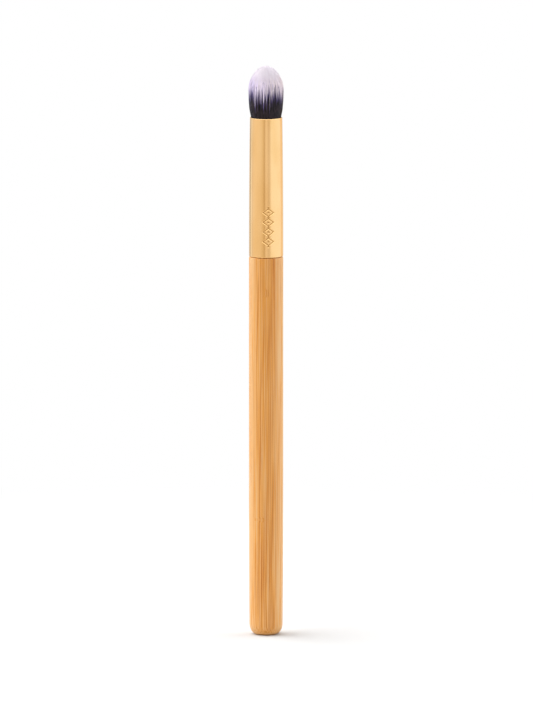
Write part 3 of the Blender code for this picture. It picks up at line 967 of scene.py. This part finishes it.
# %% Glue
CREAM = (0.78, 0.72, 0.56)
YELLOWED = (0.66, 0.56, 0.36)
GLUE_RELIEF = 0.04 * MM


def glue_finish():
    """Cured wood glue: cream, yellowed in patches."""
    material, place = new_finish("cream_glue")
    patches = place.noise(0.9, detail=3.0)
    set_shader(
        material,
        base_color=patches.step(0.35, 0.7).blend(CREAM, YELLOWED),
        roughness=0.32 + patches * 0.15,
        normal=bump(patches, GLUE_RELIEF),
    )
    return material


# %% Finish the hidden pieces
hidden = {"root_plug": resin, "binding_thread": cotton_finish(), "glue_ring": glue_finish()}
for name, finish in hidden.items():
    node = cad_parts[name]
    node.data.materials.clear()
    node.data.materials.append(finish)
print("materials:", ", ".join(sorted(material.name for material in bpy.data.materials)))

# %% [markdown]
# ## Tie each piece to the construction
#
# Nothing on this brush moves, so every piece rides on its one body. A fine surface stands for the
# construction node whose shape it has, which is hidden.

# %% Pieces, nodes and materials
for piece, node, material_slot in (
    (handle, "handle", "bamboo"),
    (ferrule, "ferrule", "gold_aluminium"),
    (root, "bristle_tuft", "filament"),
    *((piece, "bristle_tuft", "filament") for piece in tuft),
):
    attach(piece, "root")
    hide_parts(node)

# %% [markdown]
# ## The floor
#
# The brush stands on a pale matt sweep, which the lamps and the room bring just up to white. Where
# the brush keeps part of that light off, a soft shadow is left beside the foot. Towards its rim the
# floor fades to plain white, so that its edge can't be told from the white round it.

# %% Make the floor
FLOOR_RADIUS = 0.30
FLOOR_FADE = 0.12
FLOOR_GAP = 0.02 * MM
FLOOR_RINGS = 12
FLOOR_COLOUR = (0.605, 0.605, 0.605)

rings = np.linspace(0, FLOOR_RADIUS, FLOOR_RINGS)
floor = turned("floor", np.stack([rings, 0 * rings - FLOOR_GAP], axis=1), round_angles)
floor_material, floor_place = new_finish("white_sweep")
tree = floor_material.node_tree
away = floor_place.node("ShaderNodeVectorMath", {"operation": "LENGTH"}, {0: floor_place}).other("Value")
rim = away.step((FLOOR_RADIUS - FLOOR_FADE) / MM, FLOOR_RADIUS / MM)
white = floor_place.node("ShaderNodeEmission", {}, {"Strength": 1.0})
matt = floor_place.node("ShaderNodeBsdfDiffuse", {}, {"Color": rgba(FLOOR_COLOUR)})
surface = floor_place.node("ShaderNodeMixShader", {}, {0: rim, 1: matt, 2: white})
tree.nodes.remove(tree.nodes["Principled BSDF"])
tree.links.new(surface.socket, tree.nodes["Material Output"].inputs["Surface"])
floor.data.materials.append(floor_material)
floor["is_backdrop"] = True

# %% [markdown]
# ## Light
#
# Three very broad, soft lamps stand for the studio's soft boxes. The strongest is on the left, so
# the shadow falls to the right. A weaker one fills the right side, and the third stands behind and
# nearly overhead and lights the top of the tuft.

# %% Soft lamps
KEY = {"azimuth": -98, "elevation": 54, "width": 60, "power": 2.9}
FILL = {"azimuth": 105, "elevation": 35, "width": 70, "power": 1.0}
TOP = {"azimuth": 175, "elevation": 75, "width": 50, "power": 1.1}


def soft_lamp(name, azimuth, elevation, width, power):
    """A sun that shines from an angle round the brush and above it, with a disc many degrees wide."""
    light = bpy.data.lights.new(name, "SUN")
    light.angle = math.radians(width)
    light.energy = power
    lamp = bpy.data.objects.new(name, light)
    bpy.context.scene.collection.objects.link(lamp)
    # A lamp shines down its own -Z, so it is tipped up from there and then turned round
    lamp.rotation_euler = (math.radians(90 - elevation), 0, math.radians(azimuth))
    lamp.visible_glossy = False
    print(f"{name}: power {power}, {azimuth} degrees round and {elevation} degrees up")


soft_lamp("key_lamp", **KEY)
soft_lamp("fill_lamp", **FILL)
soft_lamp("top_lamp", **TOP)

# %% [markdown]
# ## The room
#
# The room gives the rest of the light. Its ceiling is darker than its walls, which leaves the
# shadow on the floor, and the camera sees it as plain white.
#
# What a mirror shows matters more than how much light there is: the ferrule would look dead in an
# even white room. So mirrors see a room with bright panels and darker gaps between them, held by a
# ramp round the horizon, and a far brighter patch overhead, which draws the ferrule's rims.

# %% Panels that mirrors see
# Degrees round the brush from the front, towards the right, and the colour there
PANELS = (
    (-180, (0.50, 0.46, 0.42)),
    (-170, (0.95, 1.00, 1.06)),
    (-150, (0.95, 1.00, 1.06)),
    (-142, (0.50, 0.54, 0.59)),
    (-134, (0.50, 0.54, 0.59)),
    (-126, (1.00, 1.12, 1.32)),
    (-119, (1.04, 1.18, 1.42)),
    (-110, (0.86, 0.88, 0.97)),
    (-98, (0.94, 0.95, 1.02)),
    (-80, (0.97, 0.96, 0.96)),
    (-40, (0.93, 0.92, 0.92)),
    (-22, (0.84, 0.80, 0.72)),
    (-9, (0.62, 0.54, 0.41)),
    (-4, (0.92, 0.91, 0.93)),
    (6, (0.92, 0.91, 0.93)),
    (19, (0.76, 0.74, 0.75)),
    (27, (0.88, 0.89, 0.92)),
    (35, (1.08, 1.19, 1.37)),
    (110, (1.10, 1.21, 1.40)),
    (120, (1.06, 1.08, 1.16)),
    (128, (0.96, 0.85, 0.72)),
    (138, (0.96, 0.87, 0.72)),
    (146, (1.02, 0.96, 0.80)),
    (160, (0.92, 0.82, 0.62)),
    (180, (0.50, 0.46, 0.42)),
)
PANEL_GAIN = 1.45
# A ramp's colours stop at 1, so they are divided by the gain here and multiplied by it in the room
panel_stops = tuple(
    ((degrees + 180) / 360, tuple(part / PANEL_GAIN for part in colour)) for degrees, colour in PANELS
)
print(f"{len(PANELS)} stops round the horizon")

# %% Build the room
WALLS = (0.85, 0.85, 0.85)
CEILING = (0.35, 0.35, 0.35)
CEILING_RISE = (0.3, 0.9)
OVERHEAD = (2.4, 2.8, 3.3)
OVERHEAD_RISE = (0.35, 0.75)
WHITE = (1.0, 1.0, 1.0)

world = bpy.data.worlds.new("studio")
bpy.context.scene.world = world
world.use_nodes = True
tree = world.node_tree
direction = Wire(tree, tree.nodes.new("ShaderNodeTexCoord").outputs["Generated"])
split = direction.node("ShaderNodeSeparateXYZ", {}, {"Vector": direction})
upwards = split.other("Z")
azimuth = direction.node("ShaderNodeMath", {"operation": "ARCTAN2"}, {0: split, 1: 0 - split.other("Y")})
panels = (azimuth / (2 * math.pi) + 0.5).ramp(panel_stops)
panels = panels.node("ShaderNodeVectorMath", {"operation": "SCALE"}, {0: panels, "Scale": PANEL_GAIN})
mirrored = upwards.step(*OVERHEAD_RISE).blend(panels, OVERHEAD)
plain = upwards.step(*CEILING_RISE).blend(WALLS, CEILING)
camera_ray = direction.node("ShaderNodeLightPath", {}, {})
room = camera_ray.other("Is Glossy Ray").blend(plain, mirrored)
room = (camera_ray + camera_ray.other("Is Transmission Ray")).blend(room, WHITE)
tree.links.new(room.socket, tree.nodes["Background"].inputs["Color"])
print(f"{world.name}: {len(tree.nodes)} nodes")

# %% [markdown]
# ## Camera
#
# The camera stands far back with a long lens, eight degrees above the level, so that the brush's
# sides stay parallel and its rims show as thin ellipses. The lens is as long as it takes for one
# millimetre of brush to fill the same part of the frame as it does in the photograph.

# %% Place the camera
FRAME_HEIGHT = 711
PIXELS_PER_MM = 3.3635
SENSOR = 36.0
CAMERA_DISTANCE = 5.0
CAMERA_REACH = 100
CAMERA_ELEVATION = math.radians(8.0)
AIM_HEIGHT = 83.7 * MM
AIM_RIGHT = 0.13 * MM

camera_data = bpy.data.cameras.new("camera")
camera_data.sensor_width = SENSOR
camera_data.lens = PIXELS_PER_MM / MM * CAMERA_DISTANCE * SENSOR / FRAME_HEIGHT
camera_data.clip_end = CAMERA_REACH
camera = bpy.data.objects.new("camera", camera_data)
bpy.context.scene.collection.objects.link(camera)
back = np.array([0, -math.cos(CAMERA_ELEVATION), math.sin(CAMERA_ELEVATION)])
camera.location = np.array([AIM_RIGHT, 0, AIM_HEIGHT]) + CAMERA_DISTANCE * back
camera.rotation_euler = (math.pi / 2 - CAMERA_ELEVATION, 0, 0)
bpy.context.scene.camera = camera
bpy.context.scene.view_settings.view_transform = "Standard"
print(f"lens {camera_data.lens:.0f} mm at {CAMERA_DISTANCE} m")

# %% Compare the sizes and finish
sizes = {"cad": [list(corner) for corner in cad_corners], "visual": [list(corner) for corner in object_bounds()]}
for name, (low, high) in sizes.items():
    print(name, "box in mm:", [round((b - a) / MM, 2) for a, b in zip(low, high)])
